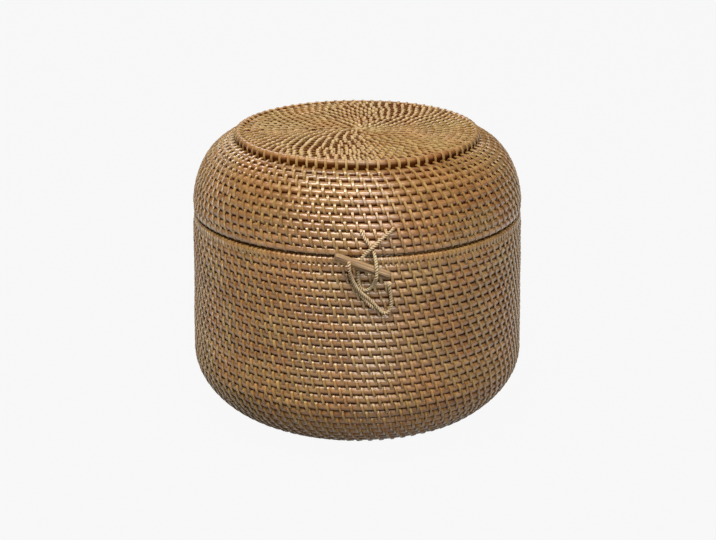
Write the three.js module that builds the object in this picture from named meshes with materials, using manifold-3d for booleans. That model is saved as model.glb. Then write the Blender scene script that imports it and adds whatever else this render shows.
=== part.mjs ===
// A round box of coiled rattan with a domed lid, two cane loops as its hinge and a peg-and-loop clasp.
// Millimetres, +Z up. The box stands on z = 0 round the Z axis, with its clasp towards -Y.
import * as THREE from "three";
import { mergeVertices } from "three/addons/utils/BufferGeometryUtils.js";
import Module from "manifold-3d";

const wasm = await Module();
wasm.setup();

// Coil rows
const CANE = 6.5; // thickness of a bound row, and so of every wall
const ROW_PITCH = 6.43; // spacing of the rows along a wall
const DISC_PITCH = 5.6; // and across the base and the top disc
const ROW_RELIEF = 1.6; // depth of the groove between two rows
const BINDING_RELIEF = 0.4; // how far the thin strands that bind the rows stand out over their crests
const SEGMENTS = 36; // facets round the box
const SEAT_GAP = 0.3; // gap between pieces that are lashed or rest together

// Body
const OUTER_RADIUS = 130; // at the seam, over the binding
const BODY_HEIGHT = 169.3; // floor to seam
const BODY_FLARE = 1.5; // the wall widens by this down to the corner
const CORNER_REACH = 72.6; // rounded bottom corner, inwards along the wall's centre line
const CORNER_RISE = 53.4; // and upwards

// Collar inside the mouth, which keeps the lid in place
const COLLAR_THICKNESS = 5;
const COLLAR_DROP = 13; // reach below the seam
const COLLAR_RISE = 7; // reach above the seam, into the lid
const LID_CLEARANCE = 0.9; // running gap between collar and lid

// Lid
const LID_UPRIGHT = 3.2; // straight part above the seam
const SHOULDER_REACH = 34; // domed shoulder, inwards along the lid's centre line
const SHOULDER_RISE = 52.3; // and upwards
const TOP_RADIUS = 96; // raised top disc
const TOP_STEP = 5.8; // height of the disc's edge above the shoulder

// Cane cords of the clasp and the hinge
const CORD = 2.4; // diameter
const CORD_SIDES = 8;
const CORD_STEP = 2.4; // length of one straight stretch of a cord's tube
const CORD_CLEARANCE = 0.4; // gap between a cord and what it runs along
const KNOT_RADIUS = 2.8;
const KNOT_FLATTENING = 0.7;
const HINGE_SPREAD = 32; // distance between the two hinge loops

// Toggle peg, seen from the front with x to the right and heights from the seam
const PEG_LENGTH = 44;
const PEG_WIDTH = 7;
const PEG_DEPTH = 6;
const PEG_ROUNDING = 2; // of its two ends
const PEG_TILT = THREE.MathUtils.degToRad(20); // slopes down to the right
const PEG_X = 3.9;
const PEG_HEIGHT = -4.4;
const PEG_HOLE_X = -10.4; // hole for the lower loop, along the peg from its middle
const PEG_HOLE_CLEARANCE = 0.5; // gap all round the cord in it

const COLOURS = {
  cane: { color: 0x94683c, roughness: 0.5, metalness: 0 },
  rim: { color: 0xa47a48, roughness: 0.5, metalness: 0 },
  cord: { color: 0xc4a670, roughness: 0.6, metalness: 0 },
  peg: { color: 0xa8834f, roughness: 0.65, metalness: 0 },
};

const seam = BODY_HEIGHT;
const wallRadius = OUTER_RADIUS - CANE / 2; // centre line of the upright wall
const innerRadius = OUTER_RADIUS - CANE;
const facetSag = innerRadius * (1 - Math.cos(Math.PI / SEGMENTS)); // a flat facet's depth inside its circle
const wallBottom = CANE / 2 + CORNER_RISE; // height where the upright wall begins
const baseRadius = wallRadius + BODY_FLARE - CORNER_REACH; // flat round part of the base
const shoulderAxis = wallRadius - SHOULDER_REACH; // radius where the shoulder would turn level

// Standoffs from the outer wall for a cord that lies on it and for the peg
const onWallGap = CORD / 2 + CORD_CLEARANCE;
const pegBack = CORD + 2 * CORD_CLEARANCE;
const pegMiddle = pegBack + PEG_DEPTH / 2;
const pegDistance = OUTER_RADIUS + pegMiddle; // from the box's axis to the peg's
const insideWall = -CANE - SEAT_GAP; // where a cord ends behind the wall
const throughHole = CORD + 2 * SEAT_GAP; // diameter of a cord's hole through a wall

// Solids

function solidOf(geometry) {
  const bare = new THREE.BufferGeometry();
  bare.setAttribute("position", geometry.getAttribute("position"));
  bare.setIndex(geometry.index);
  const merged = mergeVertices(bare, 1e-3);
  const mesh = new wasm.Mesh({
    numProp: 3,
    vertProperties: merged.getAttribute("position").array,
    triVerts: new Uint32Array(merged.index.array),
  });
  return new wasm.Manifold(mesh);
}

function geometryOf(solid) {
  const mesh = solid.getMesh();
  const geometry = new THREE.BufferGeometry();
  geometry.setAttribute("position", new THREE.BufferAttribute(mesh.vertProperties, 3));
  geometry.setIndex(new THREE.BufferAttribute(mesh.triVerts, 1));
  const faceted = geometry.toNonIndexed();
  faceted.computeVertexNormals();
  return faceted;
}

function cut(geometry, tools) {
  let solid = solidOf(geometry);
  for (const tool of tools) {
    solid = solid.subtract(solidOf(tool));
  }
  return geometryOf(solid);
}

function turned(section) {
  return new THREE.LatheGeometry(section, SEGMENTS).rotateX(Math.PI / 2);
}

// Coiled walls: a centre line of radius and height, with its outer side on the right as it runs on

function bodyLine() {
  const line = new THREE.Path();
  line.absellipse(baseRadius, wallBottom, CORNER_REACH, CORNER_RISE, -Math.PI / 2, 0);
  line.lineTo(wallRadius, seam);
  return line;
}

function lidLine() {
  const topAngle = Math.acos((TOP_RADIUS + SEAT_GAP - shoulderAxis) / SHOULDER_REACH);
  const line = new THREE.Path();
  line.moveTo(wallRadius, seam);
  line.lineTo(wallRadius, seam + LID_UPRIGHT);
  line.absellipse(shoulderAxis, seam + LID_UPRIGHT, SHOULDER_REACH, SHOULDER_RISE, 0, topAngle);
  return line;
}

function rowCount(line) {
  return Math.round(line.getLength() / ROW_PITCH);
}

function besideLine(line, distance, offset) {
  const share = distance / line.getLength();
  const point = line.getPoint(share);
  const along = line.getTangent(share);
  return new THREE.Vector2(point.x + offset * along.y, point.y - offset * along.x);
}

// A ring of coil rows between two row boundaries of a centre line: ridged outside, smooth inside
function coilRing(line, firstRow, lastRow) {
  const pitch = line.getLength() / rowCount(line);
  const start = firstRow * pitch + SEAT_GAP / 2;
  const run = lastRow * pitch - SEAT_GAP / 2 - start;
  const halfRows = 2 * (lastRow - firstRow);
  const insideSteps = Math.ceil((lastRow - firstRow) / 3);
  const section = [];
  for (let i = 0; i <= halfRows; i++) {
    const depth = BINDING_RELIEF + (i % 2 === 0 ? ROW_RELIEF : 0);
    section.push(besideLine(line, start + (run * i) / halfRows, CANE / 2 - depth));
  }
  for (let i = insideSteps; i >= 0; i--) {
    section.push(besideLine(line, start + (run * i) / insideSteps, -CANE / 2));
  }
  section.push(section[0]);
  return turned(section);
}

// A flat round coil: ridged rows on its upper face, and flat underneath but for the last row, which dips
function coilDisc(radius, bottom, edgeDip) {
  const halfRows = 2 * Math.round(radius / DISC_PITCH);
  const section = [
    new THREE.Vector2(0, bottom),
    new THREE.Vector2(radius * (1 - 2 / halfRows), bottom),
    new THREE.Vector2(radius, bottom - edgeDip),
  ];
  for (let i = halfRows; i >= 0; i--) {
    const depth = BINDING_RELIEF + (i > 0 && i % 2 === 0 ? ROW_RELIEF : 0);
    section.push(new THREE.Vector2((radius * i) / halfRows, bottom + CANE - depth));
  }
  return turned(section);
}

// Cords

// A point in front of the outer wall: x to the right, height from the seam, and distance from the wall
function frontPoint([x, height, standoff]) {
  const rise = THREE.MathUtils.clamp((height - LID_UPRIGHT) / (SHOULDER_RISE + CANE / 2), 0, 1);
  const lean = (SHOULDER_REACH + CANE / 2) * (1 - Math.sqrt(1 - rise * rise));
  const flare = (BODY_FLARE * Math.max(0, -height)) / (seam - wallBottom);
  const radius = OUTER_RADIUS - lean + flare + standoff;
  return new THREE.Vector3(x, -Math.sqrt(radius * radius - x * x), seam + height);
}

function cordTube(curve, diameter) {
  const round = new THREE.Shape().absarc(0, 0, diameter / 2, 0, 2 * Math.PI);
  return new THREE.ExtrudeGeometry(round, {
    curveSegments: CORD_SIDES / 2,
    steps: Math.ceil(curve.getLength() / CORD_STEP),
    bevelEnabled: false,
    extrudePath: curve,
  });
}

function cordRing(curve, diameter) {
  const steps = Math.ceil(curve.getLength() / CORD_STEP);
  return new THREE.TubeGeometry(curve, steps, diameter / 2, CORD_SIDES, true);
}

// A point by the hole that goes through the peg from front to back: below its axis, and before its middle
function pegHolePoint(below, before) {
  const x = PEG_X + PEG_HOLE_X * Math.cos(PEG_TILT);
  const height = PEG_HEIGHT - PEG_HOLE_X * Math.sin(PEG_TILT) - below;
  return [x, height, Math.hypot(x, pegDistance + before) - OUTER_RADIUS];
}

// A point in front of the peg, where a cord lies against it
function overPegPoint(x, height) {
  const distance = pegDistance + PEG_DEPTH / 2 + CORD_CLEARANCE + CORD / 2;
  return [x, height, Math.hypot(x, distance) - OUTER_RADIUS];
}

// The upper loop leaves the lid, crosses itself, passes in front of the peg, and returns behind it
const upperRoute = [
  [3, 20, insideWall],
  [3, 20, -CANE / 2],
  [3.2, 19, 0.8],
  [5.6, 14.6, onWallGap],
  [10.6, 7.8, onWallGap],
  [13, 2.6, pegMiddle],
  overPegPoint(14, -4.2),
  overPegPoint(14.2, -8.2),
  overPegPoint(13.8, -12),
  [12.7, -16.6, pegMiddle + 0.6],
  [11.2, -20.4, onWallGap + 2.2],
  [8.8, -23.3, onWallGap + 0.4],
  [5.6, -24.4, onWallGap],
  [2.7, -22.8, onWallGap],
  [1.1, -18.8, onWallGap],
  [0.5, -12.6, onWallGap],
  [1.2, -5, onWallGap],
  [4.6, 2.4, onWallGap + 0.6],
  [11, 8.8, onWallGap + CORD + CORD_CLEARANCE],
  [18.6, 15, onWallGap],
  [25.6, 20.2, 0.8],
  [26.4, 21, -CANE / 2],
  [26.4, 21, insideWall],
];

// The lower loop leaves the body, turns up to the peg, goes through it and comes down beside itself
const lowerRoute = [
  [23.2, -21.6, insideWall],
  [23.2, -21.6, -CANE / 2],
  [23.4, -22.8, 0.8],
  [24.3, -28, onWallGap],
  [24.9, -33.4, onWallGap],
  [24.6, -38.2, onWallGap],
  [23.3, -41.3, onWallGap],
  [20.7, -42.8, onWallGap],
  [17.9, -41.5, onWallGap],
  [13, -36, onWallGap],
  [8.4, -31, onWallGap + 0.6],
  [3.4, -26.2, onWallGap + 2.2],
  [-0.8, -20.6, onWallGap + 3.4],
  [-3.8, -14, pegMiddle + 0.6],
  [-5.4, -8.2, pegMiddle + 3.8],
  pegHolePoint(4.6, 4.9),
  pegHolePoint(2, 5.4),
  pegHolePoint(0.6, 4.8),
  pegHolePoint(0, 3.4),
  pegHolePoint(0, -2.6),
  pegHolePoint(0.55, -4),
  pegHolePoint(2, -4.6),
  pegHolePoint(4.6, -4.6),
  [-5.6, -10.4, onWallGap],
  [-4.6, -15.4, onWallGap],
  [-2.4, -20.6, onWallGap],
  [0.4, -25.4, onWallGap],
  [4.2, -30.4, onWallGap],
  [8.6, -35.2, onWallGap],
  [11.4, -38.6, 0.8],
  [12, -39.8, -CANE / 2],
  [12, -39.8, insideWall],
];

function routeCurve(route) {
  return new THREE.CatmullRomCurve3(route.map(frontPoint));
}

// The same route carried on past both its ends, so that its hole goes clean through the wall
function holeCurve(route) {
  const deeper = ([x, height, standoff]) => [x, height, standoff - CANE];
  return routeCurve([deeper(route.at(0)), ...route, deeper(route.at(-1))]);
}

// A hinge loop goes round the rims of body and lid: out and in between the first and second rows of each
function hingeCurve(x) {
  const outside = Math.sqrt(OUTER_RADIUS ** 2 - x * x) + onWallGap;
  const inside = Math.sqrt(innerRadius ** 2 - x * x) - onWallGap;
  const bodyRow = bodyLine().getLength() / rowCount(bodyLine());
  const lidRow = lidLine().getLength() / rowCount(lidLine());
  const bend = CORD; // how far from its corner a run turns
  const corners = [
    [outside - bend, lidRow],
    [outside, lidRow - bend],
    [outside, bend - bodyRow],
    [outside - bend, -bodyRow],
    [inside + bend, -bodyRow],
    [inside, bend - bodyRow],
    [inside, lidRow - bend],
    [inside + bend, lidRow],
  ];
  const points = corners.map(([y, height]) => new THREE.Vector3(x, y, seam + height));
  return new THREE.CatmullRomCurve3(points, true);
}

// A flattened knot on the wall's inner face, over the hole that a cord comes through
function knotMesh(name, [x, height]) {
  const middle = insideWall - facetSag - KNOT_RADIUS * KNOT_FLATTENING;
  const ball = new THREE.SphereGeometry(KNOT_RADIUS, CORD_SIDES, CORD_SIDES - 2);
  const knot = meshOf(name, ball, "cord");
  knot.scale.set(1, KNOT_FLATTENING, 1);
  knot.position.copy(frontPoint([x, height, middle]));
  knot.rotation.z = Math.atan2(x, -knot.position.y);
  return knot;
}

// Peg

function pegMesh() {
  const section = new THREE.Shape().absellipse(0, 0, PEG_WIDTH / 2, PEG_DEPTH / 2, 0, 2 * Math.PI);
  const stick = new THREE.ExtrudeGeometry(section, {
    curveSegments: 8,
    depth: PEG_LENGTH - 2 * PEG_ROUNDING,
    bevelThickness: PEG_ROUNDING,
    bevelSize: PEG_ROUNDING,
    bevelOffset: -PEG_ROUNDING,
    bevelSegments: 2,
  });
  stick.translate(0, 0, PEG_ROUNDING - PEG_LENGTH / 2);
  const holeRadius = CORD / 2 + PEG_HOLE_CLEARANCE;
  const hole = new THREE.CylinderGeometry(holeRadius, holeRadius, 2 * PEG_DEPTH, CORD_SIDES);
  hole.translate(0, 0, PEG_HOLE_X);
  const peg = meshOf("toggle_peg", cut(stick, [hole]), "peg");
  peg.rotation.y = Math.PI / 2 + PEG_TILT;
  peg.position.set(PEG_X, -pegDistance, seam + PEG_HEIGHT);
  return peg;
}

// Assembly

function meshOf(name, geometry, finish) {
  const mesh = new THREE.Mesh(geometry, new THREE.MeshStandardMaterial(COLOURS[finish]));
  mesh.name = name;
  return mesh;
}

const upperCurve = routeCurve(upperRoute);
const lowerCurve = routeCurve(lowerRoute);
const hingeCurves = {
  hinge_loop_left: hingeCurve(-HINGE_SPREAD / 2),
  hinge_loop_right: hingeCurve(HINGE_SPREAD / 2),
};
const upperHole = cordTube(holeCurve(upperRoute), throughHole);
const lowerHole = cordTube(holeCurve(lowerRoute), throughHole);
const hingeHoles = Object.values(hingeCurves).map((curve) => cordRing(curve, throughHole));

function collarGeometry() {
  const seated = innerRadius - SEAT_GAP;
  const running = innerRadius - LID_CLEARANCE;
  const inside = seated - COLLAR_THICKNESS;
  const section = [
    new THREE.Vector2(seated, seam - COLLAR_DROP),
    new THREE.Vector2(seated, seam),
    new THREE.Vector2(running, seam + SEAT_GAP),
    new THREE.Vector2(running, seam + COLLAR_RISE),
    new THREE.Vector2(inside, seam + COLLAR_RISE),
    new THREE.Vector2(inside, seam - COLLAR_DROP),
    new THREE.Vector2(seated, seam - COLLAR_DROP),
  ];
  return cut(turned(section), hingeHoles);
}

function bodyGroup() {
  const line = bodyLine();
  const rows = rowCount(line);
  const base = coilDisc(baseRadius - SEAT_GAP / 2, 0, 0);
  const wall = cut(coilRing(line, 0, rows - 1), [lowerHole, ...hingeHoles]);
  const rim = cut(coilRing(line, rows - 1, rows), hingeHoles);
  const group = new THREE.Group();
  group.add(
    meshOf("base_coil", base, "cane"),
    meshOf("body_coil", wall, "cane"),
    meshOf("body_rim", rim, "rim"),
    meshOf("body_collar", collarGeometry(), "cane"),
    meshOf("lower_loop", cordTube(lowerCurve, CORD), "cord"),
    knotMesh("lower_loop_knot_right", lowerRoute.at(0)),
    knotMesh("lower_loop_knot_left", lowerRoute.at(-1)),
  );
  for (const [name, curve] of Object.entries(hingeCurves)) {
    group.add(meshOf(name, cordRing(curve, CORD), "cord"));
  }
  return group;
}

function lidGroup() {
  const line = lidLine();
  const rows = rowCount(line);
  const shoulderEdge = besideLine(line, line.getLength(), CANE / 2);
  const topBottom = shoulderEdge.y + TOP_STEP - CANE;
  const seatDepth = BINDING_RELIEF + ROW_RELIEF + SEAT_GAP; // past the groove at the shoulder's edge
  const topBore = new THREE.CylinderGeometry(
    TOP_RADIUS + SEAT_GAP,
    TOP_RADIUS + SEAT_GAP,
    4 * CANE,
    SEGMENTS,
  );
  topBore.rotateX(Math.PI / 2).translate(0, 0, topBottom);
  const rim = cut(coilRing(line, 0, 1), hingeHoles);
  const shoulder = cut(coilRing(line, 1, rows), [topBore, upperHole, ...hingeHoles]);
  const group = new THREE.Group();
  group.add(
    meshOf("lid_rim", rim, "rim"),
    meshOf("lid_coil", shoulder, "cane"),
    meshOf("lid_top", coilDisc(TOP_RADIUS, topBottom, TOP_STEP - CANE + seatDepth), "cane"),
    meshOf("upper_loop", cordTube(upperCurve, CORD), "cord"),
    knotMesh("upper_loop_knot_left", upperRoute.at(0)),
    knotMesh("upper_loop_knot_right", upperRoute.at(-1)),
  );
  return group;
}

const box = new THREE.Group();
box.add(bodyGroup(), lidGroup(), pegMesh());
export default box;
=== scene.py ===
import math

import bpy
import numpy as np
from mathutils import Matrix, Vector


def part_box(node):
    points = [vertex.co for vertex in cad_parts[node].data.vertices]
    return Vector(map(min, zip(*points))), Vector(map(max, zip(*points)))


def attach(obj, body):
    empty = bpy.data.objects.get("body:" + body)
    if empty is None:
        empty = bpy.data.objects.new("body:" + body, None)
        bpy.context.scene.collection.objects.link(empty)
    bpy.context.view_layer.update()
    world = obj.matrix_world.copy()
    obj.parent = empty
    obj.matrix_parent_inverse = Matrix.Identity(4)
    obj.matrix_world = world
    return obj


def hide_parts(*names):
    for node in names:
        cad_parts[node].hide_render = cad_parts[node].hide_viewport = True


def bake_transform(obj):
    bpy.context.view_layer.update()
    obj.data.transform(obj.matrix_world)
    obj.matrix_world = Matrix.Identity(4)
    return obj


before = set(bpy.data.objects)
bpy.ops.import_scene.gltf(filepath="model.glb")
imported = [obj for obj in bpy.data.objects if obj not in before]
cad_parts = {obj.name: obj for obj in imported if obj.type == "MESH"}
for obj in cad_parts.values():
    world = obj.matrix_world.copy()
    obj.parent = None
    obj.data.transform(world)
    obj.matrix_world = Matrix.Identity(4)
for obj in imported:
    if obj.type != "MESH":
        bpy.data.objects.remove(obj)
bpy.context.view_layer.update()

MM = 0.001

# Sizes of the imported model
CANE = 6.5  # thickness of a bound row
ROW_PITCH = 6.43  # spacing of the rows along a wall
DISC_PITCH = 5.6  # and across the base and the top disc
BINDING_RELIEF = 0.4  # how far the binding stands out over the rows
SEAT_GAP = 0.3
OUTER_RADIUS = 130
BODY_HEIGHT = 169.3  # floor to seam
BODY_FLARE = 1.5
CORNER_REACH = 72.6
CORNER_RISE = 53.4
COLLAR_THICKNESS = 5
COLLAR_DROP = 13
COLLAR_RISE = 7
LID_CLEARANCE = 0.9
LID_UPRIGHT = 3.2
SHOULDER_REACH = 34
SHOULDER_RISE = 52.3
TOP_RADIUS = 96
CORD = 2.4
CORD_CLEARANCE = 0.4
KNOT_RADIUS = 2.8
KNOT_FLATTENING = 0.7
HINGE_SPREAD = 32
PEG_LENGTH = 44
PEG_WIDTH = 7
PEG_DEPTH = 6
PEG_ROUNDING = 2
PEG_TILT = math.radians(20)
PEG_X = 3.9
PEG_HEIGHT = -4.4
PEG_HOLE_X = -10.4

UPWARD = np.array([0, 0, 1])
seam = BODY_HEIGHT
wall_radius = OUTER_RADIUS - CANE / 2
inner_radius = OUTER_RADIUS - CANE
wall_bottom = CANE / 2 + CORNER_RISE
base_radius = wall_radius + BODY_FLARE - CORNER_REACH
shoulder_axis = wall_radius - SHOULDER_REACH
on_wall_gap = CORD / 2 + CORD_CLEARANCE
peg_middle = CORD + 2 * CORD_CLEARANCE + PEG_DEPTH / 2
peg_distance = OUTER_RADIUS + peg_middle
inside_wall = -CANE - SEAT_GAP

# Canes of the rows
CORE_SHAPE = 1.75  # power of a cane's oval: 2 is an ellipse, and less is more like a lozenge
RIM_SHAPE = 2.6
EDGE_SHAPE = 2.2
EDGE_DROP = 3.2  # how far the top's last row hangs below the rest of the disc
WELT_INSET = 0.5  # from the shoulder's inner end to the cane under the disc's edge
WELT_DROP = 1.2
WELT_WIDTH = 6
ROW_OVERLAP = 0.03  # share of the pitch by which each cane is pressed into its neighbours
CORE_SIDES = 12
CORE_STEPS = 120  # per turn
CANE_LENGTHS = (500, 1400)  # shortest and longest of the canes that are joined into a coil
MOST_CANES = 60
CANE_TIP = 0.03  # least share of the section, at the ends of a coil
WALL_JOG = 0.07  # share of a turn in which the cane climbs to the next row
DISC_JOG = 0.25
JOG_ANGLE = math.radians(140)  # at the back, clear of the hinge
SEAM_EDGE = 0.2  # share by which the rims are slimmer, towards the seam
SEAM_SHIFT = 1 / 3  # of that share, by which they are moved back
RUN_STEP = 0.1  # of a row, to either side, over which a wall's direction is taken
ARC_STEPS = 80

# Unevenness of the hand-laid rows, in waves round the wall
OUTWARD_DRIFT = 0.25
ONWARD_DRIFT = 0.3
FEWEST_WAVES = 2  # in a turn
WAVE_KINDS = 6
WAVE_SHIFT = 0.35  # turn of the slowest waves from one row to the next
WAVE_SHIFT_STEP = 0.2  # and what each faster kind adds
CALM_RADIUS = 40  # within which a disc's rows grow even

# Binding of the rows
STRAND_WIDTH = 2.4
DISC_STRAND_WIDTH = 2.9
EDGE_STRAND_WIDTH = 2.6
STRAND_THICKNESS = 0.8
STRAND_FLAT = 0.68  # share of a strand's width between its bevelled edges
STITCH_SPACING = 8.15  # along a row of a wall
DISC_STITCH_SPACING = 6.5  # along a row of the base or the top disc
WALL_SHIFT = 0.44  # of the spacing, from one row to the next
DISC_SHIFT = 0.5
FEWEST_STITCHES = 5  # in a row
NEIGHBOUR_PULL = 0.2  # of the gaps beside a stitch, by which each draws it over
PULL_ROUNDS = 4
EVEN_PULL = 0.35  # share of the way to even places round the row
STITCH_STRAY = 0.06  # of the spacing
STITCH_LEAN = 1.0  # to either side, over a row
STITCH_HOOK = 2.2  # how far a stitch reaches into the row before it
STITCH_SLACK = 0.1  # beyond its own row
STITCH_SHAPE = 2.2  # power of a stitch's oval round its own row
HOOK_SHAPE = 3.2  # and where it hooks into the row before
LEAST_BOUND = 0.4  # share of the cane's section, below which its tapered ends are unbound
STITCH_STEPS = 12
LEAN_SPREAD = (0.7, 1.3)  # least and most, as shares
HOOK_SPREAD = (0.7, 1.2)
WIDTH_SPREAD = (0.85, 1.15)
FIBRE_STEP = 1.7  # length of strand for each step of a stitch
FIBRE_SPREAD = 900  # length of strand that the stitches are cut from

# Twisted cords and knots
PLY_RADIUS = 0.74
PLY_OFFSET = 0.68
PLY_TWIST = 4.0  # length of one full twist
PLY_SIDES = 8
PLY_TONES = (0.4, 0.8)
CORD_STEP = 0.4
CURVE_STEPS = 24  # between two points of a route
ASLANT = (0.31, 0.17, 0.93)  # a direction that no cord starts in
KNOT_PLY = 0.42  # share of a knot's thickness
KNOT_LENGTH = 40  # of the cord in a knot
KNOT_STEPS = 96
KNOT_TONES = (0.3, 0.7)

# Whittling of the peg
PEG_STEPS = 72
PEG_SIDES = 28
PEG_BEVEL = 1.4 * PEG_ROUNDING
PEG_END = 0.25  # share of its section at its flat ends
PEG_TIP = 0.02  # and in the middle of them
PEG_FLATS = [(0.035, 3, 0.04, math.pi / 2), (0.02, 5, 0.09, 1)]  # depth, number, winding and phase
PEG_TONE = 0.5

random = np.random.default_rng(7)


# Materials

# Painted shade: the tint that darkens a strand in its grooves, and near the floor
GROOVE_SHADE_TINT = (0.27, 0.16, 0.085)
GROOVE_SHADE_FADE = 0.4  # share of the way round to a strand's groove over which painted shade darkens it
# Darker painted shade, for the pits of a disc and the side of its edge ring
EDGE_SHADE_TINT = (0.2, 0.1, 0.045)
STITCH_SHADOW_TINT = (0.7, 0.55, 0.42)  # painted shadow on the cane beside a stitch
STITCH_SHADOW_FADE = (0.26, 0.4)  # where that painted shadow begins and is full, from the middle between two stitches
SHEEN_TINT = (1, 0.84, 0.58)
SHEEN = 0.7  # under the coat, as a share of it
SWELL = 0.8  # of the cane between two stitches
RELIEF = 0.3  # of fibres and grain, at a bump of 1
FIBRE_BUMP = 0.25
GRAIN_BUMP = 0.5
NOISE_RANGE = (0.3, 0.7)  # in which nearly all of a noise lies
ROUGHNESS_SPREAD = (-0.1, 0.12)  # from fibre to fibre
WOOD_ROUGHNESS = (0.65, 0.45)  # in the dark lines of grain, and in the pale wood
WORN_END = (0.84, 0.95)  # shares of the peg's length, between which its bark gives way to bare wood
WORN_TONE = 0.05
TONE_SPREAD = 0.07  # from strand to strand
WORN_HEIGHT = 80  # up to which the gloss is rubbed off, most by the floor
FLOOR_SHADE_HEIGHT = 14  # up to which painted shade darkens the cane, most at the floor
STAINS = ((38.0, 38.0, 38.0), 2.0)  # repeats per metre, and detail
STAIN_TINTS = [(0.36, (1.0, 0.9, 0.8)), (0.64, (0.98, 1.03, 0.95))]
CORE_COLOURS = [
    (0.28, (0.135, 0.048, 0.013)),
    (0.44, (0.265, 0.124, 0.044)),
    (0.56, (0.38, 0.2, 0.083)),
    (0.72, (0.57, 0.345, 0.168)),
]
STRAND_COLOURS = [
    (0.28, (0.175, 0.081, 0.018)),
    (0.44, (0.28, 0.148, 0.042)),
    (0.56, (0.365, 0.21, 0.068)),
    (0.72, (0.5, 0.312, 0.115)),
]
DISC_STRAND_COLOURS = [
    (0.28, (0.189, 0.094, 0.025)),
    (0.44, (0.302, 0.172, 0.058)),
    (0.56, (0.394, 0.244, 0.094)),
    (0.72, (0.54, 0.362, 0.159)),
]
CORD_COLOURS = [
    (0.3, (0.45, 0.32, 0.18)),
    (0.5, (0.61, 0.47, 0.29)),
    (0.7, (0.75, 0.62, 0.43)),
]
PEG_COLOURS = [
    (0.41, (0.045, 0.021, 0.009)),
    (0.46, (0.17, 0.09, 0.037)),
    (0.56, (0.32, 0.19, 0.085)),
    (0.60, (0.47, 0.32, 0.17)),
]

# Patterns of a strand: repeats along it, round it and from tone to tone, detail, and share in the colour
FIBRES = ((0.05, 1.9, 43.0), 4.0, 0.35)
BLOTCHES = ((0.035, 0.12, 91.0), 2.0, 0.35)
MOTTLING = ((0.16, 0.3, 17.0), 2.0, 0.3)
GRAIN = ((0.04, 1.1, 1.0), 5.0, 0.6)
STREAKS = ((0.02, 0.5, 7.0), 2.0, 0.4)


class Shader:
    """A Principled material, with short calls for the nodes behind it."""

    def __init__(self, name, **values):
        self.material = bpy.data.materials.new(name)
        self.material.use_nodes = True
        self.tree = self.material.node_tree
        self.surface = self.tree.nodes["Principled BSDF"]
        for socket, value in values.items():
            self.surface.inputs[socket.replace("_", " ")].default_value = value

    def node(self, kind, inputs, **settings):
        node = self.tree.nodes.new("ShaderNode" + kind)
        for key, value in settings.items():
            setattr(node, key, value)
        for key, value in inputs.items():
            self.give(node.inputs[key], value)
        return node

    def give(self, socket, value):
        if isinstance(value, bpy.types.NodeSocket):
            self.tree.links.new(value, socket)
        else:
            socket.default_value = value

    def strand(self):
        """A strand's values together, and apart: millimetres along and round it, and its tone."""
        place = self.node("Attribute", {}, attribute_name="strand").outputs["Vector"]
        along, around, tone = self.node("SeparateXYZ", {0: place}).outputs
        return place, along, around, tone

    def noise(self, place, repeats, detail):
        scaled = self.node("VectorMath", {0: place, 1: repeats}, operation="MULTIPLY")
        texture = self.node("TexNoise", {"Vector": scaled.outputs[0], "Scale": 1.0, "Detail": detail})
        return texture.outputs["Fac"]

    def patterned(self, tone, place, *patterns):
        """A tone with patterns laid over it, and the first pattern by itself."""
        layers = [self.noise(place, repeats, detail) for repeats, detail, _ in patterns]
        for layer, (_, _, share) in zip(layers, patterns):
            tone = self.maths("ADD", tone, self.maths("MULTIPLY", layer, share))
        return tone, layers[0]

    def maths(self, operation, first, second=0.0):
        return self.node("Math", {0: first, 1: second}, operation=operation).outputs[0]

    def ranged(self, value, low, high, to_low, to_high):
        inputs = {"Value": value, "From Min": low, "From Max": high, "To Min": to_low, "To Max": to_high}
        return self.node("MapRange", inputs).outputs[0]

    def ramp(self, value, colours):
        node = self.node("ValToRGB", {"Fac": value})
        elements = node.color_ramp.elements
        while len(elements) < len(colours):
            elements.new(0.5)
        for element, (position, colour) in zip(elements, colours):
            element.position = position
            element.color = (*colour, 1)
        return node.outputs["Color"]

    def tinted(self, colour, tint, share=1.0):
        """A colour multiplied by a tint, in full or by a share."""
        inputs = {"Factor": share, "A": colour, "B": tint}
        mix = self.node("Mix", inputs, data_type="RGBA", blend_type="MULTIPLY")
        return mix.outputs["Result"]

    def finish(self, colour, roughness, height, bump, swell=None):
        self.give(self.surface.inputs["Base Color"], colour)
        self.give(self.surface.inputs["Roughness"], roughness)
        lifted = self.node("Bump", {"Height": height, "Strength": bump, "Distance": RELIEF * MM})
        if swell:
            swollen = self.node("Bump", {"Height": swell, "Distance": SWELL * MM})
            self.give(lifted.inputs["Normal"], swollen.outputs["Normal"])
        self.give(self.surface.inputs["Normal"], lifted.outputs["Normal"])
        return self.material


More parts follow.
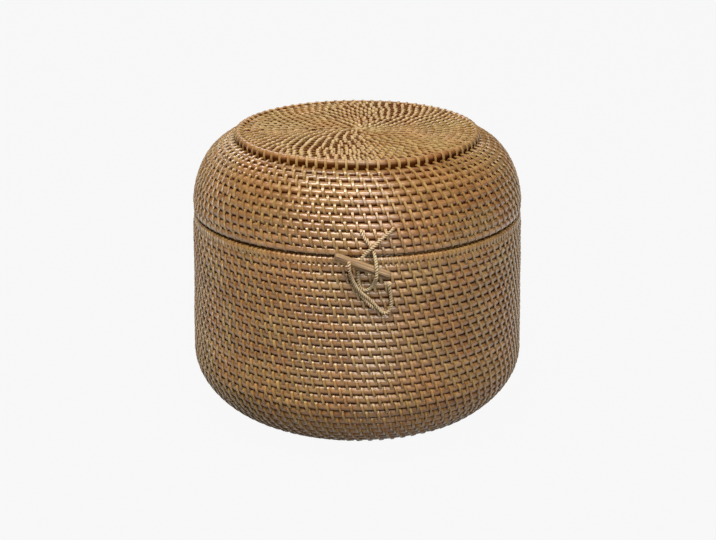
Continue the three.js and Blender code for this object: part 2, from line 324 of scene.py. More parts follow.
def strand_material(
    name, colours, side, roughness, coat, cells=False, lower=0.2, upper=0.2, tint=GROOVE_SHADE_TINT
):
    """Split cane: fibres along it, slow changes of tone, and painted shade where its sides meet other
    strands.

    The side is the way round from the middle of its outer side to its groove. Painted shade begins at the
    lower share of that way below the middle, and at the upper share above it. Cells are marked by stitches.
    """
    shader = Shader(name, Coat_Roughness=0.22, Specular_Tint=(*SHEEN_TINT, 1))
    place, _, around, tone = shader.strand()
    tone = shader.ranged(tone, 0, 1, -TONE_SPREAD, TONE_SPREAD)
    tone, fibres = shader.patterned(tone, place, FIBRES, BLOTCHES, MOTTLING)
    regions = shader.node("TexCoord", {}).outputs["Object"]
    stain = shader.ramp(shader.noise(regions, *STAINS), STAIN_TINTS)
    colour = shader.tinted(shader.ramp(tone, colours), stain)
    # Painted shade in the grooves, where the gloss is also taken off
    below = shader.ranged(around, lower * side, (lower + GROOVE_SHADE_FADE) * side, 0, 1)
    above = shader.ranged(around, -upper * side, -(upper + GROOVE_SHADE_FADE) * side, 0, 1)
    groove_shade = shader.maths("MAXIMUM", below, above)
    colour = shader.tinted(colour, (*tint, 1), groove_shade)
    height = shader.node("SeparateXYZ", {0: regions}).outputs["Z"]
    # Painted shade near the floor
    colour = shader.tinted(colour, (*tint, 1), shader.ranged(height, 0, FLOOR_SHADE_HEIGHT * MM, 1, 0))
    kept = shader.ranged(height, 0, WORN_HEIGHT * MM, 0, 1)
    gloss = shader.maths("MULTIPLY", kept, shader.ranged(groove_shade, 0, 1, coat, 0))
    shader.give(shader.surface.inputs["Coat Weight"], gloss)
    shader.give(shader.surface.inputs["Specular IOR Level"], shader.maths("MULTIPLY", gloss, SHEEN))
    smoothest, roughest = np.add(roughness, ROUGHNESS_SPREAD)
    rough = shader.ranged(fibres, *NOISE_RANGE, smoothest, roughest)
    swell = None
    if cells:
        colour, swell = bound_cells(shader, colour)
    return shader.finish(colour, rough, fibres, FIBRE_BUMP, swell)


def bound_cells(shader, colour):
    """The colour and the swelling of a cane between stitches: darker with painted shadow, and lower, beside
    each of them.
    """
    stitch = shader.node("Attribute", {}, attribute_name="stitch").outputs["Fac"]
    from_middle = shader.maths("ABSOLUTE", shader.maths("SUBTRACT", shader.maths("FRACT", stitch), 0.5))
    # Painted shadow of each stitch on the cane beside it
    beside = shader.ranged(from_middle, *STITCH_SHADOW_FADE, 0, 1)
    pinched = shader.maths("MULTIPLY", from_middle, from_middle)
    swell = shader.maths("SUBTRACT", 1.0, shader.maths("MULTIPLY", pinched, 4.0))  # 1 down to 0
    return shader.tinted(colour, (*STITCH_SHADOW_TINT, 1), beside), swell


def peg_material():
    """Dry wood with dark lines of grain, paler at the end where its bark is worn off."""
    shader = Shader("peg_wood", Coat_Weight=0.1, Coat_Roughness=0.3, Specular_IOR_Level=0.4)
    place, along, _, _ = shader.strand()
    worn_from, worn_to = np.multiply(WORN_END, PEG_LENGTH)
    worn = shader.ranged(along, worn_from, worn_to, 0, WORN_TONE)
    tone, grain = shader.patterned(worn, place, GRAIN, STREAKS)
    rough = shader.ranged(grain, *NOISE_RANGE, *WOOD_ROUGHNESS)
    return shader.finish(shader.ramp(tone, PEG_COLOURS), rough, grain, GRAIN_BUMP)


# How far round each kind of strand its groove lies, from the middle of its outer side; painted shade
# darkens it towards there
cane_side = math.pi * CANE / 4
strand_side = 1.4 * STRAND_WIDTH
ply_side = 2.8 * PLY_RADIUS
# The walls' canes: painted shade begins nearer the middle on the lower flank than on the upper one, as if
# lit from above
core_material = strand_material(
    "core_cane", CORE_COLOURS, cane_side, roughness=0.36, coat=1.0, cells=True, upper=0.55
)
# The discs' canes: painted shade over all the outer side, fullest towards the pits between rows
disc_material = strand_material(
    "disc_cane",
    CORE_COLOURS,
    cane_side,
    roughness=0.7,
    coat=0.06,
    cells=True,
    lower=-0.1,
    upper=-0.1,
    tint=EDGE_SHADE_TINT,
)
# A disc's edge ring: darker painted shade on its side
edge_material = strand_material(
    "edge_cane",
    CORE_COLOURS,
    cane_side,
    roughness=0.5,
    coat=0.5,
    cells=True,
    lower=0.5,
    upper=0.1,
    tint=EDGE_SHADE_TINT,
)
lashing_material = strand_material(
    "binding_strand", STRAND_COLOURS, strand_side, roughness=0.36, coat=1.0
)
disc_lashing_material = strand_material(
    "disc_strand", DISC_STRAND_COLOURS, strand_side, roughness=0.45, coat=0.3
)
cord_material = strand_material("twisted_cord", CORD_COLOURS, ply_side, roughness=0.5, coat=0.3)
wood_material = peg_material()

# Section and material of the canes, and width and material of the strands round them
WALL_CANE = (CORE_SHAPE, core_material)
RIM_CANE = (RIM_SHAPE, core_material)
DISC_CANE = (CORE_SHAPE, disc_material)
EDGE_CANE = (EDGE_SHAPE, edge_material)
WALL_LASHING = (STRAND_WIDTH, lashing_material)
DISC_LASHING = (DISC_STRAND_WIDTH, disc_lashing_material)
EDGE_LASHING = (EDGE_STRAND_WIDTH, disc_lashing_material)


# Meshes


def skin(name, rings, closed, strand, material, cells=None, flat=False):
    """A mesh over bands of rings of points, as rings[band, ring, side].

    The strand values of its points are their places along and round the band, its tone, and on a bound
    cane the count of stitches. The bake map has one cell for each band, or the cells asked for. A flat
    mesh keeps its sides apart, with sharp edges along it.
    """
    bands, count, sides = rings.shape[:3]
    whole = np.arange(bands * count * sides).reshape(bands, count, sides)
    here, ahead = whole, np.roll(whole, -1, axis=1)
    if not closed:
        here, ahead = here[:, :-1], ahead[:, :-1]
    quads = np.stack([here, np.roll(here, -1, 2), np.roll(ahead, -1, 2), ahead], -1).reshape(-1, 4)
    points = rings.reshape(-1, 3) * MM
    corners = points[quads] - points.mean(0)
    turn = np.einsum("ij,ij->i", corners[:, 0], np.cross(corners[:, 1], corners[:, 2])).sum()
    outwards = turn > 0
    if not outwards:
        quads = quads[:, ::-1]
    faces = quads.tolist()
    if not closed:
        for band in whole:
            first, last = (band[0][::-1], band[-1]) if outwards else (band[0], band[-1][::-1])
            faces += [first.tolist(), last.tolist()]
    mesh = bpy.data.meshes.new(name)
    mesh.from_pydata(points, [], faces)
    mesh.shade_smooth()
    if flat:
        ends = np.empty(2 * len(mesh.edges), np.int32)
        mesh.edges.foreach_get("vertices", ends)
        lengthways = ends[0::2] % sides == ends[1::2] % sides
        mesh.attributes.new("sharp_edge", "BOOLEAN", "EDGE").data.foreach_set("value", lengthways)
    attribute = mesh.attributes.new("strand", "FLOAT_VECTOR", "POINT")
    attribute.data.foreach_set("vector", strand[..., :3].astype(np.float32).ravel())
    if strand.shape[-1] > 3:
        cells_along = mesh.attributes.new("stitch", "FLOAT", "POINT")
        cells_along.data.foreach_set("value", strand[..., 3].astype(np.float32).ravel())
    give_bake_map(mesh, len(quads), sides, cells or bands, outwards)
    mesh.materials.append(material)
    piece = bpy.data.objects.new(name, mesh)
    bpy.context.collection.objects.link(piece)
    return piece


def give_bake_map(mesh, quads, sides, cells, outwards):
    """Lays the quads of each cell out as a strip, and the strips in a grid."""
    steps = math.ceil(quads // sides / cells)
    columns = max(1, round(math.sqrt(cells * sides / steps)))
    rows = math.ceil(cells / columns)
    face = np.arange(quads)
    along, side = face // sides, face % sides
    cell, step = along // steps, along % steps
    left = (cell % columns + step / steps) / columns
    low = (cell // columns + side / sides) / rows
    right = left + 1 / steps / columns
    high = low + 1 / sides / rows
    corners = [(left, low), (left, high), (right, high), (right, low)]
    if not outwards:
        corners.reverse()
    places = np.zeros((len(mesh.loops), 2), np.float32)
    for corner, (across, up) in enumerate(corners):
        places[corner : 4 * quads : 4, 0] = across
        places[corner : 4 * quads : 4, 1] = up
    layer = mesh.uv_layers.new(name="OFBake")
    layer.uv.foreach_set("vector", places.ravel())


def finish_piece(piece, body, node):
    """Hides the solid that a piece stands for, and puts the piece under its body, if it is given one; a
    piece that spans two bodies is not.
    """
    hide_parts(node)
    if body:
        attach(piece, body)
    return piece


# Curves through points


def reach_along(path):
    """The length of a path up to each of its points."""
    return np.concatenate([[0], np.cumsum(np.linalg.norm(np.diff(path, axis=0), axis=1))])


def full_turn(steps):
    return np.linspace(0, 2 * math.pi, steps, endpoint=False)


def smooth_curve(points, closed=False):
    """A centripetal curve through the points, at even steps."""
    points = np.array(points, float)
    if closed:
        padded = np.vstack([points[-1], points, points[:2]])
    else:
        padded = np.vstack([2 * points[0] - points[1], points, 2 * points[-1] - points[-2]])
    dense = []
    for a, b, c, d in zip(padded, padded[1:], padded[2:], padded[3:]):
        gaps = np.linalg.norm(np.diff([a, b, c, d], axis=0), axis=1)
        first, middle, last = np.sqrt(gaps)
        start = ((b - a) / first - (c - a) / (first + middle) + (c - b) / middle) * middle
        end = ((c - b) / middle - (d - b) / (middle + last) + (d - c) / last) * middle
        t = np.linspace(0, 1, CURVE_STEPS, endpoint=False)[:, None]
        cubic = 2 * b - 2 * c + start + end
        square = 3 * c - 3 * b - 2 * start - end
        dense.append(((cubic * t + square) * t + start) * t + b)
    dense.append(padded[-2:-1])
    dense = np.vstack(dense)
    reach = reach_along(dense)
    steps = round(reach[-1] / CORD_STEP)
    wanted = np.linspace(0, reach[-1], steps + 1)[: steps if closed else None]
    return np.stack([np.interp(wanted, reach, dense[:, i]) for i in range(3)], -1)


def frames_along(path, closed):
    """Two directions across a path at each of its points, carried along it without twisting."""
    if closed:
        ahead = np.roll(path, -1, 0) - np.roll(path, 1, 0)
    else:
        ahead = np.gradient(path, axis=0)
    ahead /= np.linalg.norm(ahead, axis=1)[:, None]
    side = np.cross(ahead[0], ASLANT)
    sides = []
    for direction in ahead:
        side = side - direction * side.dot(direction)
        side /= np.linalg.norm(side)
        sides.append(side)
    sides = np.array(sides)
    return sides, np.cross(ahead, sides)


def tube_rings(path, radius, sides, closed=False):
    across, over = frames_along(path, closed)
    turn = full_turn(sides)[:, None]
    round_path = np.cos(turn) * across[:, None] + np.sin(turn) * over[:, None]
    return path[:, None] + round_path * radius


def tube_strand(count, length, sides, radius, tone):
    """The strand values of a tube: along it, round it and its tone."""
    values = np.empty((count, sides, 3))
    values[..., 0] = np.linspace(0, length, count)[:, None]
    values[..., 1] = (np.arange(sides) - sides / 2) * 2 * math.pi * radius / sides
    values[..., 2] = tone
    return values


def twisted_cord(name, path, closed=False):
    """A cord of two plies laid round each other along a path."""
    across, over = frames_along(path, closed)
    length = reach_along(path)[-1]
    twists = round(length / PLY_TWIST)
    share = np.arange(len(path)) / (len(path) if closed else len(path) - 1)
    plies = []
    values = []
    for ply in range(2):
        turn = 2 * math.pi * twists * share + math.pi * ply
        outward = np.cos(turn)[:, None] * across + np.sin(turn)[:, None] * over
        ply_path = path + PLY_OFFSET * outward
        rings = tube_rings(ply_path, PLY_RADIUS, PLY_SIDES, closed)
        strand = tube_strand(len(path), length, PLY_SIDES, PLY_RADIUS, random.uniform(*PLY_TONES))
        facing = np.einsum("ijk,ik->ij", rings - ply_path[:, None], outward) / PLY_RADIUS
        strand[..., 1] = PLY_RADIUS * np.arccos(np.clip(facing, -1, 1))
        plies.append(rings)
        values.append(strand)
    return skin(name, np.array(plies), closed, np.array(values), cord_material)


# Camera

CAMERA_DIP = 18.7  # degrees below level
camera = bpy.data.objects.new("camera", bpy.data.cameras.new("camera"))
camera.data.sensor_width = 36
camera.data.lens = 98.04
camera.data.shift_x = 0.001
camera.data.clip_start = 0.05
camera.location = (0, -1.48265, 0.6178)
camera.rotation_euler = (math.radians(90 - CAMERA_DIP), 0, 0)
bpy.context.collection.objects.link(camera)
bpy.context.scene.camera = camera


# Cords of the clasp


def front_point(x, height, standoff):
    """A point before the outer wall, by x, height over the seam and distance from the wall."""
    rise = min(max((height - LID_UPRIGHT) / (SHOULDER_RISE + CANE / 2), 0), 1)
    lean = (SHOULDER_REACH + CANE / 2) * (1 - math.sqrt(1 - rise * rise))
    flare = BODY_FLARE * max(0, -height) / (seam - wall_bottom)
    radius = OUTER_RADIUS - lean + flare + standoff
    return x, -math.sqrt(radius * radius - x * x), seam + height


def peg_hole_point(below, before):
    """A place for front_point by the hole through the peg: below its axis, and before its middle."""
    x = PEG_X + PEG_HOLE_X * math.cos(PEG_TILT)
    height = PEG_HEIGHT - PEG_HOLE_X * math.sin(PEG_TILT) - below
    return x, height, math.hypot(x, peg_distance + before) - OUTER_RADIUS


def over_peg_point(x, height):
    """A place for front_point where a cord lies on the front of the peg."""
    distance = peg_distance + PEG_DEPTH / 2 + CORD_CLEARANCE + CORD / 2
    return x, height, math.hypot(x, distance) - OUTER_RADIUS


# Routes of the two cords, by places for front_point, from knot to knot
in_wall = -CANE / 2
out_of_hole = 0.8
UPPER_ROUTE = [
    (3, 20, inside_wall),
    (3, 20, in_wall),
    (3.2, 19, out_of_hole),
    (5.6, 14.6, on_wall_gap),
    (10.6, 7.8, on_wall_gap),
    (13, 2.6, peg_middle),
    over_peg_point(14, -4.2),
    over_peg_point(14.2, -8.2),
    over_peg_point(13.8, -12),
    (12.7, -16.6, peg_middle + 0.6),
    (11.2, -20.4, on_wall_gap + 2.2),
    (8.8, -23.3, on_wall_gap + 0.4),
    (5.6, -24.4, on_wall_gap),
    (2.7, -22.8, on_wall_gap),
    (1.1, -18.8, on_wall_gap),
    (0.5, -12.6, on_wall_gap),
    (1.2, -5, on_wall_gap),
    (4.6, 2.4, on_wall_gap + 0.6),
    (11, 8.8, on_wall_gap + CORD + CORD_CLEARANCE),
    (18.6, 15, on_wall_gap),
    (25.6, 20.2, out_of_hole),
    (26.4, 21, in_wall),
    (26.4, 21, inside_wall),
]
LOWER_ROUTE = [
    (23.2, -21.6, inside_wall),
    (23.2, -21.6, in_wall),
    (23.4, -22.8, out_of_hole),
    (24.3, -28, on_wall_gap),
    (24.9, -33.4, on_wall_gap),
    (24.6, -38.2, on_wall_gap),
    (23.3, -41.3, on_wall_gap),
    (20.7, -42.8, on_wall_gap),
    (17.9, -41.5, on_wall_gap),
    (13, -36, on_wall_gap),
    (8.4, -31, on_wall_gap + 0.6),
    (3.4, -26.2, on_wall_gap + 2.2),
    (-0.8, -20.6, on_wall_gap + 3.4),
    (-3.8, -14, peg_middle + 0.6),
    (-5.4, -8.2, peg_middle + 3.8),
    peg_hole_point(4.6, 4.9),
    peg_hole_point(2, 5.4),
    peg_hole_point(0.6, 4.8),
    peg_hole_point(0, 3.4),
    peg_hole_point(0, -2.6),
    peg_hole_point(0.55, -4),
    peg_hole_point(2, -4.6),
    peg_hole_point(4.6, -4.6),
    (-5.6, -10.4, on_wall_gap),
    (-4.6, -15.4, on_wall_gap),
    (-2.4, -20.6, on_wall_gap),
    (0.4, -25.4, on_wall_gap),
    (4.2, -30.4, on_wall_gap),
    (8.6, -35.2, on_wall_gap),
    (11.4, -38.6, out_of_hole),
    (12, -39.8, in_wall),
    (12, -39.8, inside_wall),
]


def clasp_loop(name, route):
    path = smooth_curve([front_point(*place) for place in route])
    loop = twisted_cord(name, path)
    return loop


finish_piece(clasp_loop("clasp_upper_loop", UPPER_ROUTE), "lid", "upper_loop")
lower_loop = finish_piece(clasp_loop("clasp_lower_loop", LOWER_ROUTE), None, "lower_loop")
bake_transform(lower_loop)


# Coiled walls


def drift(phases, row, angle):
    """Waves round a wall, which move on from row to row."""
    total = 0
    for kind, phase in enumerate(phases):
        waves = FEWEST_WAVES + kind
        moved_on = (WAVE_SHIFT + WAVE_SHIFT_STEP * kind) * row
        total = total + np.cos(waves * angle + phase + moved_on) / waves
    return total


class Wall:
    """A coiled wall: its centre line as radius and height, measured in rows, and how its cane runs."""

    def __init__(self, points, hand, jog, free_edge=0, pitch=ROW_PITCH):
        self.points = np.array(points, float)
        reach = reach_along(self.points)
        self.rows = round(reach[-1] / pitch)
        self.pitch = reach[-1] / self.rows
        self.reach = reach / self.pitch
        self.hand = hand
        self.jog = jog
        self.free_edge = free_edge
        self.start = JOG_ANGLE + hand * math.pi * jog
        self.outward_phases, self.onward_phases = random.uniform(0, 2 * math.pi, (2, WAVE_KINDS))

    def point(self, row):
        """Radius and height of the centre line at a row."""
        return np.stack([np.interp(row, self.reach, self.points[:, i]) for i in range(2)], -1)

    def radii(self):
        return self.point(np.arange(self.rows) + 0.5)[:, 0]

    def at(self, row, turns):
        """Middle of the wall and its outward, onward and sideways directions, at rows and turns."""
        angle = self.start + self.hand * 2 * math.pi * turns
        run = self.point(row + RUN_STEP) - self.point(row - RUN_STEP)
        run /= np.linalg.norm(run, axis=-1)[..., None]
        middle = self.point(row)
        radial = np.stack([np.cos(angle), np.sin(angle), 0 * angle], -1)
        sideways = self.hand * np.stack([-np.sin(angle), np.cos(angle), 0 * angle], -1)
        outward = self.hand * (run[..., :1] * UPWARD - run[..., 1:] * radial)
        onward = run[..., :1] * radial + run[..., 1:] * UPWARD
        centre = middle[..., :1] * radial + middle[..., 1:] * UPWARD
        unevenness = np.clip(middle[..., :1] / CALM_RADIUS, 0, 1)
        out_drift = OUTWARD_DRIFT * drift(self.outward_phases, row, angle)[..., None]
        on_drift = ONWARD_DRIFT * drift(self.onward_phases, row, angle)[..., None]
        centre = centre + unevenness * (out_drift * outward + on_drift * onward)
        return centre, outward, onward, sideways

    def ring(self, count, first):
        """Row and fullness of a closed ring, which a free edge sets back from the wall's end."""
        set_back = self.free_edge * (first + 1 == self.rows)
        return np.full(count, first + 0.5 - set_back * SEAM_SHIFT), np.full(count, 1 - set_back)

    def spiral(self, turns, first, last):
        """Row and fullness of one cane that climbs from row to row, tapered at its two ends."""
        whole = np.floor(turns)
        climb = np.clip((turns - whole - 1 + self.jog) / self.jog, 0, 1)
        row = first + whole + 0.5 + climb
        row = np.where(whole < 0, first + climb / 2, row)
        row = np.where(whole >= last - first - 1, last - 0.5 + climb / 2, row)
        fullness = np.where(whole < 0, climb, np.where(whole >= last - first - 1, 1 - climb, 1))
        return row, fullness


def oval(turn, power):
    """Cosine and sine of a rounded box, which is fuller than an ellipse for a power above 2."""
    cosine, sine = np.cos(turn), np.sin(turn)
    return (
        np.sign(cosine) * np.abs(cosine) ** (2 / power),
        np.sign(sine) * np.abs(sine) ** (2 / power),
    )


def core(name, wall, first, rows, cane=WALL_CANE, thickness=CANE, ring=False):
    """The cane that a wall is coiled from, as one long tube, or as a closed ring of one row."""
    section, material = cane
    last = first + len(rows)
    if ring:
        turns = np.arange(CORE_STEPS) / CORE_STEPS
        row, fullness = wall.ring(CORE_STEPS, first)
    else:
        turns = np.linspace(-wall.jog, last - first, round((last - first + wall.jog) * CORE_STEPS) + 1)
        row, fullness = wall.spiral(turns, first, last)
        fullness = np.clip(fullness, CANE_TIP, 1)
    centre, outward, onward, _ = wall.at(row, turns)
    turn = math.pi / 2 + full_turn(CORE_SIDES)
    cosine, sine = oval(turn, section)
    half_out = (thickness / 2 - STRAND_THICKNESS) * np.sqrt(fullness)
    half_on = (0.5 + ROW_OVERLAP) * wall.pitch * fullness
    rings = (
        centre[:, None]
        + (half_out[:, None] * cosine)[..., None] * outward[:, None]
        + (half_on[:, None] * sine)[..., None] * onward[:, None]
    )
    reach = reach_along(centre)
    values = np.empty((len(turns), CORE_SIDES, 4))
    values[..., 0] = reach[:, None]
    from_outside = turn - 2 * math.pi * (turn > math.pi)
    values[..., 1] = wall.hand * from_outside * CANE / 2
    joins = np.cumsum(random.uniform(*CANE_LENGTHS, MOST_CANES))
    tones = random.uniform(0, 1, MOST_CANES + 1)
    values[..., 2] = tones[np.searchsorted(joins, reach)][:, None]
    marks = np.concatenate([k + np.sort(places % 1) for k, places in enumerate(rows)])
    values[..., 3] = np.interp(turns, marks, np.arange(len(marks)))[:, None]
    return skin(name, rings[None], ring, values[None], material, last - first)


def gaps_between(places):
    """The gap after each of the places round a turn."""
    return np.diff(np.append(places, places[0] + 1))


def stitch_rows(radii, spacing, shift):
    """Where the stitches of each row lie, as shares of a turn: each beside one of the row before it.

    Where a row has room for more, they go into gaps all round it, and then all are drawn to even places.
    """
    rows = []
    for radius in radii:
        turn_length = 2 * math.pi * radius
        count = max(FEWEST_STITCHES, round(turn_length / spacing))
        if not rows:
            rows.append(np.arange(count) / count)
            continue
        places = rows[-1] + shift * spacing / turn_length
        gaps = gaps_between(places)
        added = max(0, count - len(places))
        wanted = places[0] + (random.uniform() + np.arange(added)) / max(1, added)
        split = np.searchsorted(places, wanted) - 1
        places = np.sort(np.concatenate([places, places[split] + gaps[split] / 2]))
        for _ in range(PULL_ROUNDS):
            gaps = gaps_between(places)
            places = places + (gaps - np.roll(gaps, 1)) * NEIGHBOUR_PULL
        even = np.arange(len(places)) / len(places)
        even += (places - even).mean()
        rows.append(places + (even - places) * EVEN_PULL)
    return rows


def stitches(name, wall, first, rows, lashing=WALL_LASHING, thickness=CANE, last=None):
    """Thin strands round a ring, or round the cane of a spiral up to its last row.

    Each is hooked into the row before its own.
    """
    width, material = lashing
    turns = np.concatenate([k + places % 1 for k, places in enumerate(rows)])
    stray = random.uniform(-STITCH_STRAY, STITCH_STRAY, len(turns))
    turns += stray * STITCH_SPACING / (2 * math.pi * OUTER_RADIUS)
    if last is None:
        row, fullness = wall.ring(len(turns), first)
    else:
        row, fullness = wall.spiral(turns, first, last)
        kept = fullness > LEAST_BOUND
        turns, row, fullness = turns[kept], row[kept], fullness[kept]
    count = len(turns)
    centre, outward, onward, sideways = (part[:, None] for part in wall.at(row, turns))
    turn = full_turn(STITCH_STEPS) + math.pi / STITCH_STEPS
    cosine, sine = oval(turn, np.where(np.sin(turn) < 0, HOOK_SHAPE, STITCH_SHAPE))
    hook = STITCH_HOOK * random.uniform(*HOOK_SPREAD, (count, 1))
    half_out = (thickness - STRAND_THICKNESS) / 2 * fullness[:, None]
    half_on = wall.pitch / 2 * fullness[:, None] + np.where(sine < 0, hook, STITCH_SLACK)
    lean = STITCH_LEAN * random.uniform(*LEAN_SPREAD, (count, 1)) * sine
    middle = (
        centre
        + (half_out * cosine)[..., None] * outward
        + (half_on * sine)[..., None] * onward
        + lean[..., None] * sideways
    )
    lift = np.cos(turn)[:, None] * outward + np.sin(turn)[:, None] * onward
    widths = width * random.uniform(*WIDTH_SPREAD, (count, 1, 1, 1))
    across = np.array([-1, -STRAND_FLAT, STRAND_FLAT, 1]) / 2
    over = np.array([-1, 1, 1, -1]) * STRAND_THICKNESS / 2
    rings = (
        middle[:, :, None]
        + widths * across[:, None] * sideways[:, :, None]
        + over[:, None] * lift[:, :, None]
    )
    values = np.empty(rings.shape)
    cut_from = random.uniform(0, FIBRE_SPREAD, (count, 1, 1))
    values[..., 0] = (np.arange(STITCH_STEPS) * FIBRE_STEP)[:, None] + cut_from
    values[..., 1] = across * STRAND_WIDTH
    values[..., 2] = random.uniform(0, 1, (count, 1, 1))
    return skin(name, rings, True, values, material, flat=True)


def ellipse_arc(centre, reach, rise, start, end):
    angles = np.radians(np.linspace(start, end, ARC_STEPS))
    return np.stack([centre[0] + reach * np.cos(angles), centre[1] + rise * np.sin(angles)], -1)


BODY_HAND, LID_HAND = -1, 1
top_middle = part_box("lid_top")[1].z / MM + BINDING_RELIEF - CANE / 2
top_angle = math.degrees(math.acos((TOP_RADIUS + SEAT_GAP - shoulder_axis) / SHOULDER_REACH))
corner_arc = ellipse_arc((base_radius, wall_bottom), CORNER_REACH, CORNER_RISE, -90, 0)
shoulder_arc = ellipse_arc(
    (shoulder_axis, seam + LID_UPRIGHT), SHOULDER_REACH, SHOULDER_RISE, top_angle, 0
)
collar_radius = inner_radius - LID_CLEARANCE - COLLAR_THICKNESS / 2
base_middle = CANE / 2 + OUTWARD_DRIFT  # raised by about as much as uneven rows dip

base = Wall(
    [(0, base_middle), (base_radius - SEAT_GAP / 2, base_middle)], BODY_HAND, DISC_JOG, pitch=DISC_PITCH
)
side = Wall(np.vstack([corner_arc, [(wall_radius, seam)]]), BODY_HAND, WALL_JOG, SEAM_EDGE)
collar = Wall(
    [(collar_radius, seam - COLLAR_DROP), (collar_radius, seam + COLLAR_RISE)], BODY_HAND, WALL_JOG
)
shoulder = Wall(np.vstack([shoulder_arc, [(wall_radius, seam)]]), LID_HAND, WALL_JOG, SEAM_EDGE)
top = Wall([(0, top_middle), (TOP_RADIUS, top_middle)], LID_HAND, DISC_JOG, pitch=DISC_PITCH)

base_rows = stitch_rows(base.radii(), DISC_STITCH_SPACING, DISC_SHIFT)
side_rows = stitch_rows(side.radii(), STITCH_SPACING, WALL_SHIFT)
top_rows = stitch_rows(top.radii(), DISC_STITCH_SPACING, DISC_SHIFT)
shoulder_rows = stitch_rows(shoulder.radii(), STITCH_SPACING, WALL_SHIFT)
collar_rows = stitch_rows(collar.radii(), STITCH_SPACING, WALL_SHIFT)
rim_row = side_rows[-1]
rim_row = np.sort(np.concatenate([rim_row, rim_row + gaps_between(rim_row) / 2]))


def coiled_disc(name, wall, rows, edge_row, drop=0):
    """A flat coil whose last row is a ring of its own, which hangs lower than the rest by a drop."""
    last = wall.rows - 1
    ends = wall.point(np.array([last, last + 1])) - [0, drop / 2]
    edge = Wall(ends, wall.hand, WALL_JOG, pitch=wall.pitch)
    height = CANE + drop
    return [
        core(name + "_cane", wall, 0, rows[:last], DISC_CANE),
        core(name + "_edge", edge, 0, [edge_row], EDGE_CANE, height + STRAND_THICKNESS, ring=True),
        stitches(name + "_binding", wall, 0, rows[:last], DISC_LASHING, last=last),
        stitches(name + "_edge_binding", edge, 0, [edge_row], EDGE_LASHING, height),
    ]


def finish_pieces(pieces, body, node):
    for piece in pieces:
        finish_piece(piece, body, node)


base_pieces = coiled_disc("base", base, base_rows, side_rows[0])
finish_pieces(base_pieces, "body", "base_coil")
top_pieces = coiled_disc("top", top, top_rows, shoulder_rows[0], EDGE_DROP)
finish_pieces(top_pieces, "lid", "lid_top")

welt_middle = shoulder.point(0) - [WELT_INSET, WELT_DROP]
welt_half = [WELT_WIDTH / 2, 0]
welt_wall = Wall([welt_middle - welt_half, welt_middle + welt_half], LID_HAND, WALL_JOG)
welt = core("top_welt", welt_wall, 0, [shoulder_rows[0]], DISC_CANE, ring=True)
finish_piece(welt, "lid", "lid_top")

# The binding of the side is two pieces, since one would be a very large mesh
half = side.rows // 2
wall_last = side.rows - 1
lower_rows = side_rows[:half]
upper_rows = [np.empty(0)] * half + side_rows[half:wall_last]
wall_pieces = [
    core("side_cane", side, 0, side_rows[:wall_last]),
    stitches("side_binding_lower", side, 0, lower_rows, last=wall_last),
    stitches("side_binding_upper", side, 0, upper_rows, last=wall_last),
]
finish_pieces(wall_pieces, "body", "body_coil")

body_rim_pieces = [
    core("body_rim_cane", side, wall_last, [rim_row], RIM_CANE, ring=True),
    stitches("body_rim_binding", side, wall_last, [rim_row]),
]
finish_pieces(body_rim_pieces, "body", "body_rim")

collar_pieces = [
    core("collar_cane", collar, 0, collar_rows, thickness=COLLAR_THICKNESS),
    stitches("collar_binding", collar, 0, collar_rows, thickness=COLLAR_THICKNESS, last=collar.rows),
]
finish_pieces(collar_pieces, "body", "body_collar")

shoulder_last = shoulder.rows - 1
shoulder_pieces = [
    core("shoulder_cane", shoulder, 0, shoulder_rows[:shoulder_last]),
    stitches("shoulder_binding", shoulder, 0, shoulder_rows[:shoulder_last], last=shoulder_last),
]
finish_pieces(shoulder_pieces, "lid", "lid_coil")

lid_rim_pieces = [
    core("lid_rim_cane", shoulder, shoulder_last, [shoulder_rows[-1]], RIM_CANE, ring=True),
    stitches("lid_rim_binding", shoulder, shoulder_last, [shoulder_rows[-1]]),
]
finish_pieces(lid_rim_pieces, "lid", "lid_rim")


# Hinge loops, knots and peg


def hinge_path(x):
    """A closed path through the two rims at the back, with its corners cut."""
    outside = math.sqrt(OUTER_RADIUS**2 - x * x) + on_wall_gap
    inside = math.sqrt(inner_radius**2 - x * x) - on_wall_gap
    lid_hole, body_hole = shoulder.pitch, -side.pitch
    cut = CORD
    corners = [
        (outside - cut, lid_hole),
        (outside, lid_hole - cut),
        (outside, body_hole + cut),
        (outside - cut, body_hole),
        (inside + cut, body_hole),
        (inside, body_hole + cut),
        (inside, lid_hole - cut),
        (inside + cut, lid_hole),
    ]
    return smooth_curve([(x, y, seam + height) for y, height in corners], closed=True)


def knot(name, route_end, body):
    """A tight trefoil of cord on the wall's inner face, over the hole that the cord comes through."""
    x, height, standoff = route_end
    thickness = KNOT_RADIUS * KNOT_FLATTENING
    radius = KNOT_PLY * thickness
    centre = np.array(front_point(x, height, standoff - thickness))
    facing = math.atan2(x, -centre[1])
    right = np.array([math.cos(facing), math.sin(facing), 0])
    inward = np.array([-math.sin(facing), math.cos(facing), 0])
    turn = full_turn(KNOT_STEPS)[:, None]
    size = (KNOT_RADIUS - radius) / 3
    across = size * (np.sin(turn) + 2 * np.sin(2 * turn))
    through = (thickness - radius) * np.sin(3 * turn)
    up = size * (np.cos(turn) - 2 * np.cos(2 * turn))
    path = centre + across * right + through * inward + up * UPWARD
    rings = tube_rings(path, radius, PLY_SIDES, closed=True)
    values = tube_strand(KNOT_STEPS, KNOT_LENGTH, PLY_SIDES, radius, random.uniform(*KNOT_TONES))
    piece = skin("clasp_" + name, rings[None], True, values[None], cord_material)
    return finish_piece(piece, body, name)


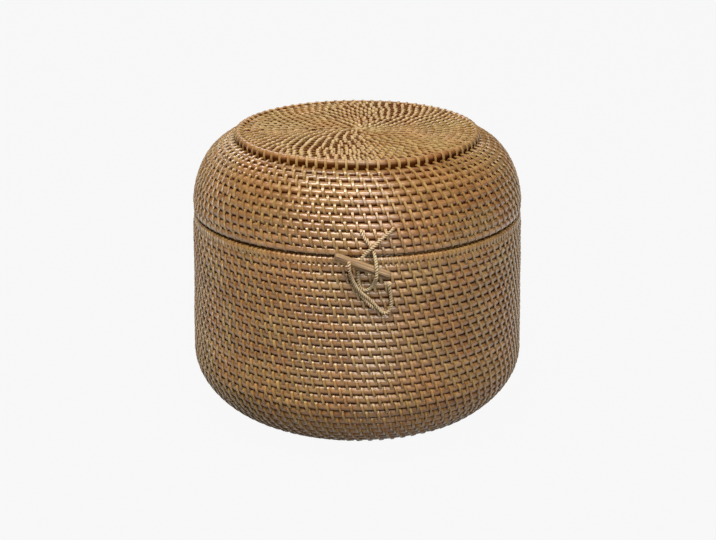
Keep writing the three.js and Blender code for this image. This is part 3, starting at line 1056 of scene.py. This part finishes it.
def peg():
    """A whittled stick with an uneven section, which the lower loop goes through."""
    along = PEG_LENGTH / 2 * np.sin(np.linspace(-math.pi / 2, math.pi / 2, PEG_STEPS))
    to_end = PEG_LENGTH / 2 - np.abs(along)
    rounding = np.minimum(to_end / PEG_BEVEL, 1)
    shrink = PEG_END + (1 - PEG_END) * np.sqrt(1 - (1 - rounding) ** 2)
    shrink[[0, -1]] = PEG_TIP
    turn = full_turn(PEG_SIDES)
    size = np.ones((PEG_STEPS, PEG_SIDES))
    for depth, flats, winding, phase in PEG_FLATS:
        size -= depth * (1 + np.sin(flats * turn + winding * along[:, None] + phase))
    size *= shrink[:, None]
    wide = PEG_WIDTH / 2 * np.cos(turn) * size
    deep = PEG_DEPTH / 2 * np.sin(turn) * size
    axis = np.array([math.cos(PEG_TILT), 0, -math.sin(PEG_TILT)])
    upward = np.array([math.sin(PEG_TILT), 0, math.cos(PEG_TILT)])
    forward = np.array([0, -1, 0])
    centre = np.array([PEG_X, -peg_distance, seam + PEG_HEIGHT])
    rings = centre + along[:, None, None] * axis + wide[..., None] * upward + deep[..., None] * forward
    values = tube_strand(PEG_STEPS, PEG_LENGTH, PEG_SIDES, PEG_WIDTH / 2, PEG_TONE)
    piece = skin("clasp_peg", rings[None], False, values[None], wood_material)
    return finish_piece(piece, "peg", "toggle_peg")


for name, x in (("hinge_loop_left", -HINGE_SPREAD / 2), ("hinge_loop_right", HINGE_SPREAD / 2)):
    loop = finish_piece(twisted_cord(name + "_cord", hinge_path(x), closed=True), None, name)
    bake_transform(loop)

knot("upper_loop_knot_left", UPPER_ROUTE[0], "lid")
knot("upper_loop_knot_right", UPPER_ROUTE[-1], "lid")
knot("lower_loop_knot_right", LOWER_ROUTE[0], "body")
knot("lower_loop_knot_left", LOWER_ROUTE[-1], "body")
peg()


# Floor and light

FLOOR_REACH = 200  # metres
FLOOR_PAINT = (0.06, 0.06, 0.06)
FLOOR_WHITENESS = 0.93  # share of the white that is seen in place of the paint
LIT_POINT = (0, 0, 0.13)  # in metres, where the lamps are aimed


def floor_material():
    """White to the camera and in reflections, with part of the shading kept so that the shadow shows."""
    shader = Shader("floor")
    shader.tree.nodes.remove(shader.surface)
    paint = shader.node("BsdfDiffuse", {"Color": (*FLOOR_PAINT, 1)})
    white = shader.node("Emission", {})
    rays = shader.node("LightPath", {}).outputs
    seen = rays["Is Camera Ray"]
    for kind in ("Is Glossy Ray", "Is Transmission Ray"):
        seen = shader.maths("MAXIMUM", seen, rays[kind])
    share = shader.maths("MULTIPLY", seen, FLOOR_WHITENESS)
    mix = shader.node("MixShader", {0: share, 1: paint.outputs[0], 2: white.outputs[0]})
    shader.give(shader.tree.nodes["Material Output"].inputs["Surface"], mix.outputs[0])
    return shader.material


def floor():
    mesh = bpy.data.meshes.new("floor")
    corners = [(x, y, 0) for x, y in ((-1, -1), (1, -1), (1, 1), (-1, 1))]
    mesh.from_pydata(np.multiply(corners, FLOOR_REACH), [], [(0, 1, 2, 3)])
    mesh.materials.append(floor_material())
    ground = bpy.data.objects.new("floor", mesh)
    bpy.context.collection.objects.link(ground)


def soft_box(name, place, width, height, power):
    """An area lamp that faces the object."""
    lamp = bpy.data.lights.new(name, "AREA")
    lamp.shape = "RECTANGLE"
    lamp.size = width
    lamp.size_y = height
    lamp.energy = power
    stand = bpy.data.objects.new(name, lamp)
    stand.location = place
    x, y, z = np.subtract(LIT_POINT, place)
    stand.rotation_euler = (math.atan2(math.hypot(x, y), -z), 0, math.atan2(y, x) - math.pi / 2)
    bpy.context.collection.objects.link(stand)


floor()
soft_box("key", (-0.25, -0.8, 1.95), 1.6, 0.7, 52)
soft_box("back", (-0.4, 1.9, 1.6), 1.2, 1.2, 19)
soft_box("fill", (0.5, -2.2, 1.3), 1.2, 1.2, 28)

world = bpy.data.worlds.new("studio")
bpy.context.scene.world = world
world.use_nodes = True
background = world.node_tree.nodes["Background"]
background.inputs["Color"].default_value = (1, 1, 1, 1)
background.inputs["Strength"].default_value = 0.1

bpy.context.scene.view_settings.view_transform = "Standard"
